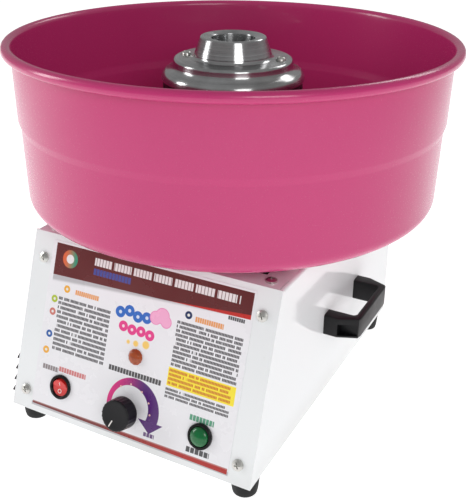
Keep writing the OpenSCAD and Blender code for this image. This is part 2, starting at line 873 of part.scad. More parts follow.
module start_button_housing() color("black") on_panel(control_x, control_s) {
    translate([0, 0, film]) bezel(3, button_bore_r);
    translate([0, 0, button_seat_n - 5]) ring(barrel_r, button_bore_r, film - button_seat_n + 5.01);
    translate([0, 0, button_seat_n - 5]) cylinder(r = barrel_r, h = 5);
}

module start_button() color("green") on_panel(control_x, control_s) {
    dome = 3.2;
    dome_r = (button_r * button_r + dome * dome) / (2 * dome);
    translate([0, 0, button_base_n]) cylinder(r = button_r, h = 3.8 - button_base_n);
    intersection() {
        translate([0, 0, 3.8 + dome - dome_r]) sphere(r = dome_r);
        translate([0, 0, 3.79]) cylinder(r = button_r, h = dome + 1);
    }
}

module start_button_spring() color("silver") on_panel(control_x, control_s, button_seat_n)
    coil_spring(5, 0.5, button_base_n - button_seat_n, 4);

module pilot_lamp_lens() color("sienna") on_panel(0, lamp_s, film) {
    dome_r = 9;
    cylinder(r = lamp_r, h = 1.4);
    intersection() {
        cylinder(r = lamp_r - 0.4, h = 6);
        translate([0, 0, 4.4 - dome_r]) sphere(r = dome_r);
    }
}

module pilot_lamp_body() color("white") on_panel(0, lamp_s) {
    translate([0, 0, -22]) cylinder(r = lamp_barrel_r, h = 22 + film);
    translate([0, 0, -4.2]) ring(7, lamp_barrel_r - 0.1, 3);
}

module potentiometer() color("silver") on_panel(0, control_s) difference() {
    union() {
        translate([0, 0, -14]) cylinder(r = 12, h = 14 - sheet);
        translate([0, 0, -2]) cylinder(r = bushing_r, h = 7);
        cylinder(r = 6, h = 2.8, $fn = 6);
    }
    round_hole(pot_shaft_r + running, -11, 6);
}

module potentiometer_shaft() color("silver") on_panel(0, control_s, -10.5)
    cylinder(r = pot_shaft_r, h = 29);

module heat_knob() color("black") on_panel(0, control_s) difference() {
    rotate_extrude() polygon(concat(
        [[0, knob_n[0]], [knob_r - 0.5, knob_n[0]], [knob_r, knob_n[0] + 0.5]],
        arc([knob_r - 1.7, knob_n[1] - 1.2], 1.2, 0, 90),
        [[0, knob_n[1]]]
    ));
    round_hole(pot_shaft_r, 0, 18.5);
    round_hole(knob_r - 3, knob_n[0] - 1, knob_n[0] + 4);
    rotate(-knob_pointer) translate([-0.6, -knob_r - 1, knob_n[1] - 0.5]) cube([1.2, 9.5, 2]);
}

// ---- electrics on the base and back ----

module control_board() color("seagreen") difference() {
    translate([board_x[0], board_y[0], board_z])
        cube([board_x[1] - board_x[0], board_y[1] - board_y[0], board_t]);
    standoff_places() round_hole(1.6, board_z - 1, board_z + 5);
}

module standoff_places() {
    for (x = [board_x[0] + 5, board_x[1] - 5], y = [board_y[0] + 5, board_y[1] - 5])
        translate([x, y, 0]) children();
}

module board_standoffs() color("white") standoff_places() {
    translate([0, 0, deck_z]) cylinder(r = 3.5, h = board_z - deck_z);
    translate([0, 0, board_z - 0.1]) cylinder(r = 1.5, h = board_t + 1.5);
}

// Relay, capacitor and finned triac heat sink
module board_components() color("darkslategray") translate([board_x[0], board_y[0], board_z + board_t]) {
    translate([12, 8, 0]) cube([20, 16, 17]);
    translate([18, 50, 0]) cylinder(r = 7, h = 22);
    translate([34, 12, 0]) {
        cube([3, 44, 24]);
        for (k = [0:5]) translate([2.9, 2 + 8 * k, 0]) cube([9, 1.6, 24]);
    }
}

module terminal_block() color("ivory") translate([70, 96, deck_z]) difference() {
    cube([42, 17, 15]);
    for (k = [0:3]) translate([6 + 10 * k, 8.5, 0]) round_hole(2.2, 8, 16);
    for (k = [0:3]) translate([6 + 10 * k, 8.5, 6]) rotate([90, 0, 0]) round_hole(2, -9, 9);
}

module cable_gland() color("black") on_back(gland_x, entry_z) difference() {
    union() {
        cylinder(r = 11, h = 6, $fn = 6);
        translate([0, 0, 5.9]) cylinder(r = 9.5, h = 7);
        translate([0, 0, 12.8]) cylinder(r1 = 9.5, r2 = 6.5, h = 6.2);
        translate([0, 0, -12]) cylinder(r = gland_thread_r, h = 12.1);
        translate([0, 0, -sheet - 4.5]) cylinder(r = 11, h = 4.5, $fn = 6);
    }
    round_hole(cable_r, -13, 20);
}

module fuse_holder() color("black") on_back(fuse_x, entry_z) difference() {
    union() {
        cylinder(r = 8.5, h = 2.5);
        translate([0, 0, 2.4]) cylinder(r = 6.8, h = 7);
        translate([0, 0, -33]) cylinder(r = fuse_r, h = 33.1);
        translate([0, 0, -sheet - 3.5]) cylinder(r = 9, h = 3.5, $fn = 6);
    }
    translate([-5, -0.8, 8]) cube([10, 1.6, 3]);
}

// A point of the panel frame in the model's frame
function panel_point(x, s, n) = [x, front_y + s * sin(lean) - n * cos(lean),
    base_z + s * cos(lean) + n * sin(lean)];

// Wires from the controls, the fuse and the terminals, held along the base
module wiring_loom() color("firebrick") {
    rocker_back = panel_point(-control_x, control_s, -19);
    button_back = panel_point(control_x, control_s, -23);
    pot_back = panel_point(0, control_s, -15);
    lamp_back = panel_point(0, lamp_s, -23);
    tube([
        rocker_back, rocker_back + [0, 12, -4], [-78, -130, 26], [-84, -50, 25],
        [-90, 16, 25], [-92, 37, 29], [-92, 43.5, 31.2]
    ], 1.4);
    tube([
        button_back, button_back + [0, 12, -4], [66, -126, 26], [10, -104, 25], [-56, -76, 25],
        [-80, -20, 25], [-84, 34, 28], [-85, 43.5, 31.2]
    ], 1.4);
    tube([
        pot_back, pot_back + [0, 10, -4], [-20, -134, 29], [-66, -88, 30],
        [-74, -20, 29], [-77, 34, 30], [-78, 43.5, 31.2]
    ], 1.4);
    tube([
        lamp_back, lamp_back + [0, 12, -8], [-24, -120, 60], [-64, -84, 40],
        [-69, -20, 33], [-70, 34, 31], [-71, 43.5, 31.2]
    ], 1.2);
    tube([
        [-59.5, 100, 31.2], [-50, 104, 28], [0, 112, 25], [50, 106, 25], [62, 104.5, 26], [69.5, 104.5, 28]
    ], 1.4);
    tube([
        [88, 95.5, 29], [90, 84, 34], [84, 66, 60], [76, 58, 110],
        [70, 56, 146], [62, 50, 164], [54, 20, 172], [49.4, 0, 174]
    ], 1.2);
    tube([[78, 95.5, 29], [76, 82, 34], [66, 58, 56], [52, 30, 76], [44, 10, 90], [42.6, 4, 98]], 1.2);
    tube([[fuse_x, 109, entry_z], [fuse_x + 3, 100, 36], [62, 96, 30], [69.5, 100, 28]], 1.2);
}

cabinet_wrap();
base_plate();
back_panel();
front_panel();
front_overlay();
panel_screws();
rubber_feet();
handle_left();
handle_right();
handle_screws();
side_vent_grille();
frame_rail_left();
frame_rail_right();
motor_bridge();
frame_bolts();
bowl();
bowl_collar();
bowl_spacers();
bowl_screws();
motor_upper_bell();
motor_lower_bell();
motor_stator();
motor_windings();
motor_bolts();
rubber_isolators();
shaft_bearings();
brush_holder();
potentiometer();
rocker_housing();
start_button_housing();
pilot_lamp_lens();
pilot_lamp_body();
control_board();
board_standoffs();
board_components();
terminal_block();
cable_gland();
fuse_holder();
wiring_loom();
main_rocker();
start_button();
start_button_spring();
heat_knob();
potentiometer_shaft();
brush_upper();
brush_lower();
brush_spring_upper();
brush_spring_lower();
motor_shaft();
extension_tube();
motor_rotor();
cooling_fan();
slip_ring_sleeve();
slip_rings();
head_base();
head_cover();
head_screws();
heater_band();
heating_element();
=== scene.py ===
import math

import bmesh
import bpy
from mathutils import Matrix, Vector


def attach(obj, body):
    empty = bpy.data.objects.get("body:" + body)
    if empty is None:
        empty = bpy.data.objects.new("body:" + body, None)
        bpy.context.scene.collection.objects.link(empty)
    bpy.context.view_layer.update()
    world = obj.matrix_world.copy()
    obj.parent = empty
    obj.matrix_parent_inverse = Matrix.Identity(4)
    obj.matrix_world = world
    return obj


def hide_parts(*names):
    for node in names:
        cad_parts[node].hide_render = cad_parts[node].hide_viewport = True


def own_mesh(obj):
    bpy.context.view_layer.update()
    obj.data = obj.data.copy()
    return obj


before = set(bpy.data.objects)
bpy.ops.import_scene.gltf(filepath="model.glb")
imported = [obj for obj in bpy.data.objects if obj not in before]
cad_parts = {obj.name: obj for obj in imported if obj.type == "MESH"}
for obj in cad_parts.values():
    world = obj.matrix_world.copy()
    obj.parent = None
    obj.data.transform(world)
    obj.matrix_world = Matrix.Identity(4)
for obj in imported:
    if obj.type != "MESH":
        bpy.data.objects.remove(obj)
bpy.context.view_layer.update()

# ---------------------------------------------------------------------------
# Studio: a wide white floor that glows evenly, a dim surround and three soft
# boxes. The camera stands in front and to the right, a little above the bowl.
# ---------------------------------------------------------------------------
scene = bpy.context.scene
MM = 0.001


def linked(name, shape):
    """An object of a finished bmesh, put in the scene."""
    mesh = bpy.data.meshes.new(name)
    shape.to_mesh(mesh)
    shape.free()
    made = bpy.data.objects.new(name, mesh)
    scene.collection.objects.link(made)
    return made


sheet = bmesh.new()
bmesh.ops.create_grid(sheet, x_segments=2, y_segments=2, size=9.0)
floor = linked("studio_floor", sheet)
floor_paper = bpy.data.materials.new("white paper")
floor_paper.use_nodes = True
paper_shader = floor_paper.node_tree.nodes["Principled BSDF"]
paper_shader.inputs["Base Color"].default_value = (0.8, 0.8, 0.8, 1)
paper_shader.inputs["Roughness"].default_value = 0.9
paper_shader.inputs["Emission Color"].default_value = (1, 1, 1, 1)
paper_shader.inputs["Emission Strength"].default_value = 0.76
floor.data.materials.append(floor_paper)

surround = bpy.data.worlds.new("surround")
surround.use_nodes = True
surround.node_tree.nodes["Background"].inputs["Color"].default_value = (1, 1, 1, 1)
surround.node_tree.nodes["Background"].inputs["Strength"].default_value = 0.35
scene.world = surround
scene.view_settings.view_transform = "Standard"

camera_data = bpy.data.cameras.new("camera")
camera_data.sensor_width = 36
camera_data.lens = 59.7
camera_data.shift_y = -0.1
camera = bpy.data.objects.new("camera", camera_data)
scene.collection.objects.link(camera)
yaw, pitch, roll = math.radians(27.6), math.radians(22.2), math.radians(0.57)
camera.matrix_world = (
    Matrix.Translation((0.3662, -0.6978, 0.5019))
    @ Matrix.Rotation(yaw, 4, "Z")
    @ Matrix.Rotation(math.pi / 2 - pitch, 4, "X")
    @ Matrix.Rotation(roll, 4, "Z")
)
scene.camera = camera


def softbox(name, place, aim, width, height, power):
    lamp = bpy.data.lights.new(name, "AREA")
    lamp.shape = "RECTANGLE"
    lamp.size = width
    lamp.size_y = height
    lamp.energy = power
    holder = bpy.data.objects.new(name, lamp)
    scene.collection.objects.link(holder)
    holder.location = place
    holder.rotation_euler = (Vector(aim) - Vector(place)).to_track_quat("-Z", "Y").to_euler()


softbox("key_box", (1.5, -1.5, 1.3), (0, 0, 0.2), 0.9, 0.9, 13)
softbox("left_box", (-1.8, -0.8, 0.9), (0, 0, 0.25), 0.5, 1.1, 13)
softbox("back_box", (0.3, 1.6, 1.5), (0, 0, 0.25), 1.2, 0.4, 6)

# ---------------------------------------------------------------------------
# Cabinet: one white powder-coated sheet folded over the top and both sides,
# with a base plate and a louvred back panel screwed to its inner lips.
# ---------------------------------------------------------------------------


class Wire:
    """A socket of a material's nodes, with the arithmetic that the finishes use."""

    def __init__(self, tree, socket):
        self.tree = tree
        self.socket = socket

    def node(self, kind, settings, inputs, outlet=0):
        made = self.tree.nodes.new("ShaderNode" + kind)
        for key, value in settings.items():
            setattr(made, key, value)
        for key, value in inputs.items():
            if isinstance(value, Wire):
                self.tree.links.new(value.socket, made.inputs[key])
            else:
                made.inputs[key].default_value = value
        return Wire(self.tree, made.outputs[outlet])

    def maths(self, operation, *others):
        return self.node("Math", {"operation": operation}, dict(enumerate((self,) + others)))

    def __add__(self, other):
        return self.maths("ADD", other)

    def __sub__(self, other):
        return self.maths("SUBTRACT", other)

    def __mul__(self, other):
        return self.maths("MULTIPLY", other)

    def __truediv__(self, other):
        return self.maths("DIVIDE", other)

    def __rsub__(self, other):
        return self.node("Math", {"operation": "SUBTRACT"}, {0: other, 1: self})

    def ramp(self, start, end, low=0.0, high=1.0):
        limits = {"From Min": start, "From Max": end, "To Min": low, "To Max": high}
        return self.node("MapRange", {"interpolation_type": "SMOOTHSTEP"}, {"Value": self, **limits})

    def band(self, low, high, soft=0.12):
        return self.ramp(low - soft, low + soft) * self.ramp(high + soft, high - soft)

    def mix(self, first, second):
        """The first colour where this is 0 and the second where it is 1."""
        return self.node("Mix", {"data_type": "RGBA"}, {0: self, 6: first, 7: second}, 2)

    def noise(self, scale, detail=3.0, roughness=0.5):
        inputs = {"Vector": self, "Scale": scale, "Detail": detail, "Roughness": roughness}
        return self.node("TexNoise", {}, inputs)

    def stretched(self, x, y, z):
        return self.node("VectorMath", {"operation": "MULTIPLY"}, {0: self, 1: (x, y, z)})

    def axis(self, index):
        return self.node("SeparateXYZ", {}, {"Vector": self}, index)


def rgb(red, green, blue):
    """A colour as it is named in a paint chart, 0 to 255, in the shader's linear scale."""
    linear = [((c / 255 + 0.055) / 1.055) ** 2.4 if c > 10 else c / 255 / 12.92 for c in (red, green, blue)]
    return (*linear, 1.0)


def finish(name, **constants):
    """A new material: (material, object coordinates, a function that feeds its shader)."""
    made = bpy.data.materials.new(name)
    made.use_nodes = True
    tree = made.node_tree
    shader = tree.nodes["Principled BSDF"]
    for key, value in constants.items():
        shader.inputs[key.replace("_", " ")].default_value = value
    place = Wire(tree, tree.nodes.new("ShaderNodeTexCoord").outputs["Object"])

    def feed(socket, wire):
        tree.links.new(wire.socket, shader.inputs[socket])

    return made, place, feed


def grain(place, scale, depth, strength=0.5, detail=4.0):
    """A fine even bump of the given depth in metres."""
    height = place.noise(scale, detail)
    return height.node("Bump", {}, {"Height": height, "Strength": strength, "Distance": depth})


def dress(material, *nodes):
    for node in nodes:
        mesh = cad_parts[node].data
        mesh.materials.clear()
        mesh.materials.append(material)


def powder_coat():
    made, place, feed = finish("white powder coat", IOR=1.55)
    cloud = place.noise(9, 4)
    dust = place.noise(160, 6, 0.7).ramp(0.62, 0.78)
    low_edge = place.axis(2).ramp(0.05, 0.018)
    # Grey dust specks, and a grey that deepens towards the cabinet's bottom edge, both only where the cloud
    # pattern is strong.
    dust_and_low_grey = (dust * 0.35 + low_edge * 0.3) * cloud.ramp(0.35, 0.7)
    feed("Base Color", dust_and_low_grey.mix(cloud.mix(rgb(242, 245, 246), rgb(236, 240, 241)), rgb(208, 207, 203)))
    feed("Roughness", cloud.ramp(0.3, 0.7, 0.09, 0.14) + dust * 0.1)
    feed("Normal", grain(place, 700, 0.00003, 0.1, 2))
    return made


white_coat = powder_coat()
dress(white_coat, "cabinet_wrap", "base_plate", "back_panel", "front_panel")

# ---------------------------------------------------------------------------
# Printed film: one glossy sheet glued to the sloping front panel, with a
# maroon heading, two print blocks, a heat scale round the knob and a red rule.
# ---------------------------------------------------------------------------
panel_foot_y = -206
panel_foot_z = 18
panel_lean = math.atan(54 / 162)
control_s = 31
switch_x = 75


def on_panel(x, s, n=0.0):
    """Turns a shape made on the Z axis to stand on the sloping panel, s mm up its slope."""
    foot = Matrix.Translation((0, panel_foot_y * MM, panel_foot_z * MM))
    upright = Matrix.Rotation(math.pi / 2 - panel_lean, 4, "X")
    return foot @ upright @ Matrix.Translation((x * MM, s * MM, n * MM))


def printed_film():
    made, place, feed = finish("printed film", IOR=1.5, Coat_Roughness=0.12)
    u = place.axis(0) / MM
    back = (place.axis(1) - panel_foot_y * MM) * (math.sin(panel_lean) / MM)
    s = back + (place.axis(2) - panel_foot_z * MM) * (math.cos(panel_lean) / MM)

    def box(x0, x1, s0, s1, soft=0.15):
        return u.band(x0, x1, soft) * s.band(s0, s1, soft)

    def disc(x, y, r, soft=0.2):
        across = (u - x).maths("POWER", 2) + (s - y).maths("POWER", 2)
        return across.maths("SQRT").ramp(r + soft, r - soft)

    def over(x0, s0, x1, s1, soft=0.2):
        """1 on the left-hand side of the line from one point to the other."""
        run = math.hypot(x1 - x0, s1 - s0)
        side = (s - s0) * ((x1 - x0) / run) - (u - x0) * ((s1 - s0) / run)
        return side.ramp(-soft, soft)

    cover = 0.92

    def letters(x0, x1, s0, s1, pitch):
        """A line of short upright bars, which stands for large print."""
        stroke = ((u - x0) * (math.pi / pitch)).maths("SINE").maths("ABSOLUTE").ramp(0.1, 0.4)
        return box(x0, x1, s0, s1) * stroke * cover

    def small_print(x0, x1, s0, s1, count, tall, pitch):
        """Rows of bars with random gaps, which stand for print too small to read."""
        line = (s - s0) * (count / (s1 - s0))
        along = (u - x0) / pitch
        body = (line * math.pi).maths("SINE").maths("ABSOLUTE").ramp(0.85 - tall, 1.0 - tall * 0.6)
        pair = line.node("CombineXYZ", {}, {"X": along.maths("FLOOR"), "Y": line.maths("FLOOR")})
        pick = pair.node("TexWhiteNoise", {"noise_dimensions": "2D"}, {"Vector": pair})
        return letters(x0, x1, s0, s1, pitch) * body * pick.ramp(0.1, 0.14)

    paper = place.noise(30).mix(rgb(242, 242, 245), rgb(237, 237, 241))
    ink = rgb(38, 34, 40)
    grey = rgb(176, 174, 178)
    amber_ink = rgb(240, 176, 60)
    orange_ink = rgb(232, 150, 60)
    maroon = place.noise(14).mix(rgb(104, 38, 40), rgb(96, 34, 36))

    # Heading: grey shadow, red wedge, maroon field and a plain badge
    under_heading = over(-101.5, 128.0, 70, 139.5, 1.6) * box(-101, 80, 122, 163.4)
    wedge = over(-101.5, 133.3, 103.8, 140.6) * box(-101, 103.6, 128, 163.4)
    field = over(-101.5, 133.3, 20, 137.4) * over(20, 137.4, 103.8, 144.6) * box(-101, 103.6, 128, 163.4)
    colour = (under_heading * 0.8).mix(paper, grey)
    colour = wedge.mix(colour, rgb(196, 44, 38))
    colour = field.mix(colour, maroon)
    badge = u.ramp(-92, -76).mix(rgb(226, 104, 62), rgb(48, 150, 120))
    colour = disc(-84.2, 150.8, 8.4).mix(colour, badge)
    colour = disc(-84.2, 150.8, 4.2).mix(colour, rgb(238, 236, 236))

    # Picture: two rows of plain rings, a pink cloud and three orange dots
    for k, y in enumerate((116.5, 119.5, 116.2, 117.4)):
        colour = disc(-22.3 + 9.3 * k, y, 5.2).mix(colour, rgb(52, 108, 196))
        colour = disc(-22.3 + 9.3 * k, y, 1.6).mix(colour, rgb(214, 226, 244))
    for k, y in enumerate((104.6, 103.4, 104.0, 102.8)):
        colour = disc(-17.2 + 9.4 * k, y, 4.8).mix(colour, rgb(232, 66, 142))
        colour = disc(-17.2 + 9.4 * k, y, 1.4).mix(colour, rgb(250, 222, 234))
    for inset, tint in ((0, rgb(236, 142, 190)), (0.8, rgb(246, 176, 212))):
        for x, y, r in ((14.5, 120.0, 6.2), (20.8, 123.0, 7.2), (25.2, 118.6, 5.6)):
            colour = disc(x, y, r - inset).mix(colour, tint)
    for x, y, r in ((-9.8, 91.9, 1.8), (-1.9, 92.2, 2.7), (8.5, 93.6, 3.6)):
        colour = disc(x, y, r, 0.8).mix(colour, rgb(250, 208, 110))

    # Discs beside the two print blocks, and the yellow field
    for x, y, tint in (
        (-83.1, 122.7, amber_ink),
        (-95.7, 110.8, rgb(176, 196, 60)),
        (-96.0, 98.5, rgb(206, 120, 110)),
        (-96.3, 77.1, rgb(34, 92, 170)),
        (-97.4, 61.3, amber_ink),
        (46.0, 130.3, rgb(24, 44, 92)),
    ):
        colour = disc(x, y, 3.5).mix(colour, tint)
        colour = disc(x, y, 1.3).mix(colour, rgb(236, 236, 232))
    colour = box(34.7, 100.8, 64.8, 81.5).mix(colour, rgb(252, 232, 60))

    # Heading: one long line of bars with a gap after every sixth or seventh
    words = ((u + 58) * (math.pi / 21.12)).maths("SINE").maths("ABSOLUTE").ramp(0.16, 0.2)
    colour = (letters(-58, 92, 151.2, 158.2, 3.3) * words).mix(colour, rgb(246, 242, 242))

    # Single lines: left, right, foot and top edges, pitch of the bars, colour
    for x0, x1, s0, s1, pitch, tint in (
        (-57, -16, 142.6, 148.4, 3.4, rgb(74, 82, 160)),
        (-73.6, -47.0, 119.8, 124.2, 2.2, orange_ink),
        (52.8, 80.4, 126.2, 130.8, 2.2, orange_ink),
        (83.1, 98.7, 136.2, 139.4, 2.0, ink),
        (-26.3, 29.1, 62.2, 67.0, 3.1, rgb(22, 16, 20)),
        (-98.5, -80.3, 43.2, 47.8, 2.9, rgb(128, 116, 118)),
        (-79.8, -49.2, 45.1, 49.7, 2.9, rgb(206, 104, 104)),
        (61.8, 85.8, 42.0, 47.0, 3.2, rgb(54, 150, 110)),
        (62.7, 85.7, 13.8, 18.6, 4.4, rgb(26, 26, 30)),
        (19.1, 30.4, 13.6, 17.2, 3.4, rgb(84, 34, 110)),
    ):
        colour = letters(x0, x1, s0, s1, pitch).mix(colour, tint)

    # Blocks: edges as above, number of rows, height in a row, pitch, colour
    for x0, x1, s0, s1, count, tall, pitch, tint in (
        (-91, -32.6, 63, 115, 12, 0.5, 1.5, ink),
        (36, 100, 82.5, 124, 11, 0.56, 1.4, ink),
        (35.5, 97, 65.6, 80.8, 4, 0.5, 1.4, rgb(206, 110, 40)),
        (34.5, 97.4, 53.6, 63.4, 3, 0.56, 1.4, ink),
    ):
        colour = small_print(x0, x1, s0, s1, count, tall, pitch).mix(colour, tint)

    # Heat scale: a widening arc over the knob, its arrow head and five ticks
    scale_arc = disc(4.5, 34, 27.6) * (1 - disc(1.3, 34.6, 19.5)) * s.ramp(26.2, 26.6)
    head = over(11.6, 27.4, 24.6, 16.6) * over(24.6, 16.6, 37.4, 27.4) * over(37.4, 27.4, 11.6, 27.4)
    heat = u.ramp(-20, 16).mix(rgb(222, 30, 130), rgb(84, 32, 116))
    colour = scale_arc.maths("MAXIMUM", head).mix(colour, heat)
    for x, y in ((-10.5, 50.4), (-0.4, 55.2), (11.8, 51.6), (20.2, 43.6), (22.9, 33.5)):
        colour = disc(x, y, 0.9).mix(colour, rgb(244, 200, 186))

    # Red rule along the bottom with its grey shadow and a pale upper edge
    colour = (over(-105, 5.4, 105, 4.0, 0.8) * s.ramp(9.5, 8.5) * 0.8).mix(colour, grey)
    rule = over(-105, 7.4, 105, 6.4) * (1 - over(-105, 9.8, 105, 11.6)) * u.band(-104.5, 104.5)
    shine = 1 - over(-105, 9.0, 105, 10.6, 0.5)
    stripe = u.ramp(-40, 60).mix(rgb(120, 44, 42), rgb(176, 44, 38))
    colour = rule.mix(colour, (shine * 0.55 + 0.45).mix(rgb(206, 170, 168), stripe))

    feed("Base Color", colour)
    smear = place.noise(25, 5, 0.6)
    feed("Roughness", smear.ramp(0.3, 0.7, 0.2, 0.32))
    feed("Normal", grain(place, 500, 0.00003, 0.2, 2))
    return made


dress(printed_film(), "front_overlay")

# ---------------------------------------------------------------------------
# Screws: bright plated pan heads with cross recesses, which hold the cover,
# the bowl and the spinner head. The bolts and nuts inside are the same steel.
# ---------------------------------------------------------------------------


def worn_metal(name, dark, light, smooth, rough, scale=220, depth=0.00005):
    made, place, feed = finish(name, Metallic=1.0)
    cloud = place.noise(scale * 0.25, 4, 0.6)
    fine = place.noise(scale * 4, 3)
    feed("Base Color", cloud.mix(dark, light))
    feed("Roughness", cloud.ramp(0.3, 0.7, smooth, rough) + fine * 0.08)
    feed("Normal", grain(place, scale, depth, 0.35))
    return made


plated = worn_metal("bright plated steel", rgb(176, 176, 172), rgb(222, 221, 216), 0.2, 0.34)
dress(plated, "panel_screws", "handle_screws", "bowl_screws", "frame_bolts", "motor_bolts")

# ---------------------------------------------------------------------------
# Feet: four tapered black rubber feet, moulded with a rounded lower edge and
# a pocket underneath for the screw that holds each one to the base.
# ---------------------------------------------------------------------------


def piece(name, shape, material, body, replaced=(), sharp=35):
    """Makes an object of a finished bmesh and hangs it on its body."""
    bmesh.ops.remove_doubles(shape, verts=shape.verts, dist=1e-6)
    bmesh.ops.recalc_face_normals(shape, faces=shape.faces)
    made = linked(name, shape)
    for face in made.data.polygons:
        face.use_smooth = True
    made.data.set_sharp_from_angle(angle=math.radians(sharp))
    made.data.materials.append(material)
    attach(made, body)
    if replaced:
        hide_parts(*replaced)
    return made


def arc(x, z, r, start, end, steps=6):
    turns = [math.radians(start + (end - start) * k / steps) for k in range(steps + 1)]
    return [(x + r * math.cos(t), z + r * math.sin(t)) for t in turns]


def placed(shape, matrix, verts=None):
    bmesh.ops.transform(shape, matrix=matrix, verts=verts or shape.verts)


def turned(shape, outline, steps=96, closed=True, spot=None):
    """Adds the outline, in mm as radius and height, spun round the Z axis, then put in its spot."""
    before = set(shape.verts)
    corners = [shape.verts.new((r * MM, 0, z * MM)) for r, z in outline]
    pairs = list(zip(corners, corners[1:]))
    if closed:
        pairs.append((corners[-1], corners[0]))
    edges = [shape.edges.new(pair) for pair in pairs]
    bmesh.ops.spin(
        shape,
        geom=corners + edges,
        cent=(0, 0, 0),
        axis=(0, 0, 1),
        angle=2 * math.pi,
        steps=steps,
        use_merge=True,
    )
    if spot:
        placed(shape, spot, [v for v in shape.verts if v not in before])


def block(shape, size, spot):
    """Adds a box of the given size in mm with its centre on the spot."""
    made = bmesh.ops.create_cube(shape, size=1.0)
    placed(shape, spot @ Matrix.Diagonal((*(length * MM for length in size), 1)), made["verts"])


def rounded(shape, edges, offset, segments):
    bmesh.ops.bevel(
        shape, geom=edges, offset=offset * MM, segments=segments, affect="EDGES", profile=0.5, material=-1
    )


def moulded(name, base, worn, smooth, rough, scale=1400, depth=0.00008, strength=0.45):
    """A moulded or pressed finish with fine grain, wear and patchy gloss."""
    made, place, feed = finish(name, IOR=1.48, Specular_IOR_Level=0.3)
    cloud = place.noise(40, 4, 0.6)
    scuff = place.stretched(1, 1, 6).noise(120, 5, 0.7).ramp(0.6, 0.8)
    feed("Base Color", (scuff * 0.5 + cloud * 0.35).mix(base, worn))
    feed("Roughness", cloud.ramp(0.3, 0.7, smooth, rough) + scuff * 0.08)
    feed("Normal", grain(place, scale, depth, strength))
    return made


rubber = moulded("black rubber", rgb(22, 22, 23), rgb(52, 52, 52), 0.55, 0.72, 900)
feet = bmesh.new()
foot_outline = [(2.6, 9), (6, 9), (6, 0.6)] + arc(9.4, 1.6, 1.6, -100, -20, 5)
foot_outline += [(11.6, 4.2)] + arc(12.2, 17.2, 0.8, 0, 90, 4) + [(2.6, 18)]
for x in (-114, 114):
    for y in (-188, 124):
        turned(feet, foot_outline, 40, spot=Matrix.Translation((x * MM, y * MM, 0)))
piece("moulded_feet", feet, rubber, "cabinet", ["rubber_feet"])

# ---------------------------------------------------------------------------
# Handles: two black plastic bow handles, each moulded in one piece with
# slanted shoulders and a hollow pocket in each leg, screwed from inside.
# ---------------------------------------------------------------------------
handle_black = moulded("black handle plastic", rgb(10, 10, 13), rgb(22, 22, 25), 0.36, 0.46)


def handle(name, side, replaced):
    wall_x = 127.5
    middle_y = -7
    shape = bmesh.new()
    plan = [(0, -47), (13.5, -47), (32, -39), (33, -34), (33, 34), (32, 39), (13.5, 47), (0, 47)]
    plan += [(0, 33), (24, 33), (26.5, 30.5), (26.5, -30.5), (24, -33), (0, -33)]
    ring = [shape.verts.new(((wall_x + x) * MM, (middle_y + y) * MM, 87 * MM)) for x, y in plan]
    face = shape.faces.new(ring)
    grown = bmesh.ops.extrude_face_region(shape, geom=[face])
    tops = [v for v in grown["geom"] if isinstance(v, bmesh.types.BMVert)]
    bmesh.ops.translate(shape, vec=(0, 0, 21 * MM), verts=tops)
    on_wall = (wall_x + 0.01) * MM
    rims = [e for e in shape.edges if not all(v.co.x < on_wall for v in e.verts)]
    outer = [e for e in rims if abs(e.verts[0].co.z - e.verts[1].co.z) < 1e-6]
    rounded(shape, outer, 1.7, 3)
    if side < 0:
        placed(shape, Matrix.Scale(-1, 4, (1, 0, 0)))
    made = piece(name, shape, handle_black, "cabinet", [replaced])
    cutter_shape = bmesh.new()
    for end in (-1, 1):
        spot = Matrix.Translation((side * 149.8 * MM, (middle_y + end * 47) * MM, 95.5 * MM))
        block(cutter_shape, (17.3, 18, 11.9), spot)
    bmesh.ops.recalc_face_normals(cutter_shape, faces=cutter_shape.faces)
    cutter = linked(name + "_pockets", cutter_shape)
    pockets = made.modifiers.new("pockets", "BOOLEAN")
    pockets.operation = "DIFFERENCE"
    pockets.solver = "EXACT"
    pockets.object = cutter
    bpy.context.view_layer.update()
    cut = bpy.data.meshes.new_from_object(made.evaluated_get(bpy.context.evaluated_depsgraph_get()))
    made.modifiers.clear()
    made.data = cut
    bpy.data.objects.remove(cutter)


handle("right_handle", 1, "handle_right")
handle("left_handle", -1, "handle_left")

# ---------------------------------------------------------------------------
# Side vent: a black moulded grille with four slanted hoods, clipped over the
# slots near the front of the left side.
# ---------------------------------------------------------------------------
dress(moulded("black vent plastic", rgb(18, 18, 20), rgb(40, 40, 42), 0.3, 0.42), "side_vent_grille")

# ---------------------------------------------------------------------------
# Bowl: one deep pan spun from sheet metal, with a step below a slightly wider
# upper wall and a rolled rim, coated in glossy pink enamel inside and out.
# ---------------------------------------------------------------------------


def pink_enamel():
    made, place, feed = finish("pink enamel", IOR=1.45, Coat_Roughness=0.05)
    cloud = place.noise(6, 3)
    fleck = place.noise(900, 2)
    scuff = place.stretched(1, 1, 5).noise(90, 6, 0.7).ramp(0.6, 1.0)
    base = (cloud * 0.3 + fleck * 0.7).mix(rgb(204, 54, 120), rgb(182, 46, 104))
    feed("Base Color", (scuff * 0.12).mix(base, rgb(236, 150, 190)))
    feed("Roughness", fleck.ramp(0, 1, 0.2, 0.3) + scuff * 0.1)
    feed("Coat Weight", fleck.ramp(0, 1, 0.3, 0.15))
    feed("Normal", grain(place, 260, 0.00002, 0.12, 2))
    return made


